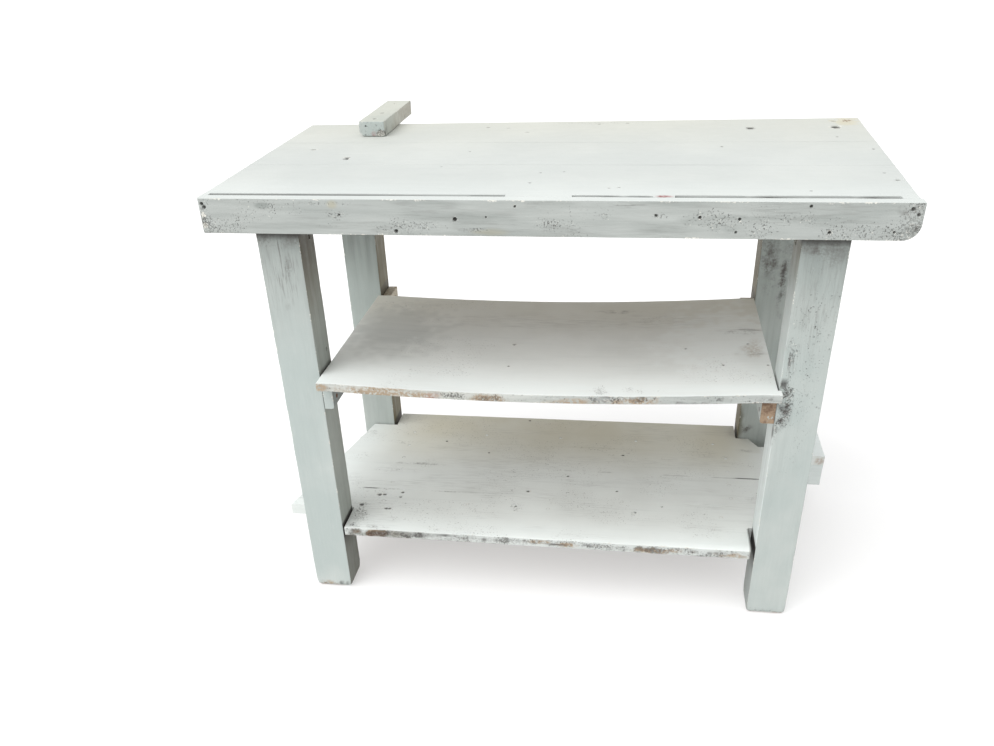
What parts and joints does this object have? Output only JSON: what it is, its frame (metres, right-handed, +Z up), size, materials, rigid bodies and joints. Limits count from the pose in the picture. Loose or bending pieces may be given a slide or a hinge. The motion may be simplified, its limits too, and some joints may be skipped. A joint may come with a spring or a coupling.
{
  "type": "workbench",
  "caption": "Wooden workbench with a thick plank top, square legs, a thin sagging middle shelf that slides on cleats, a boarded lower shelf and a stop block overhanging the back edge.",
  "frame": {"origin": "on the floor, under the middle of the bench's overall bounding box", "axes": "+X along the worktop to the right as seen from the front, +Y to the back edge with the overhanging stop block, +Z up; the front faces -Y"},
  "size_m": [1.225, 0.774, 0.896],
  "materials": {
    "worktop_paint": "worn pale grey-green paint, matt",
    "frame_paint": "worn grey-green paint, matt",
    "shelf_paint": "thin worn paint on sagging board, matt",
    "deck_paint": "worn paint over wood, matt",
    "bare_wood": "unpainted softwood, dull",
    "steel": "dull, slightly rusty"
  },
  "bodies": {
    "frame": {"top_lipping": "worktop_paint", "top_plank_front": "worktop_paint", "top_plank_middle": "worktop_paint", "top_plank_back": "worktop_paint", "lipping_dowels": "bare_wood", "plank_dowels": "bare_wood", "stop_block": "frame_paint", "stop_block_screws": "steel", "leg_front_left": "frame_paint", "leg_front_right": "frame_paint", "leg_back_left": "frame_paint", "leg_back_right": "frame_paint", "upper_rail_left": "frame_paint", "upper_rail_right": "frame_paint", "upper_rail_pegs": "bare_wood", "top_screws": "steel", "shelf_cleat_left": "frame_paint", "shelf_cleat_right": "frame_paint", "cleat_screws": "steel", "lower_rail_front": "frame_paint", "lower_rail_rear": "frame_paint", "lower_rail_bolts": "steel", "lower_bearer_left": "bare_wood", "lower_bearer_right": "bare_wood", "bearer_screws": "steel", "lower_board_front": "deck_paint", "lower_board_second": "deck_paint", "lower_board_third": "deck_paint", "lower_board_rear": "deck_paint", "lower_board_nails": "steel"},
    "shelf": {"middle_shelf": "shelf_paint"}
  },
  "joints": [
    {"name": "shelf_slide", "type": "slide", "parent": "frame", "child": "shelf", "axis": [0, -1, 0], "range_m": [0, 0.15]}
  ]
}
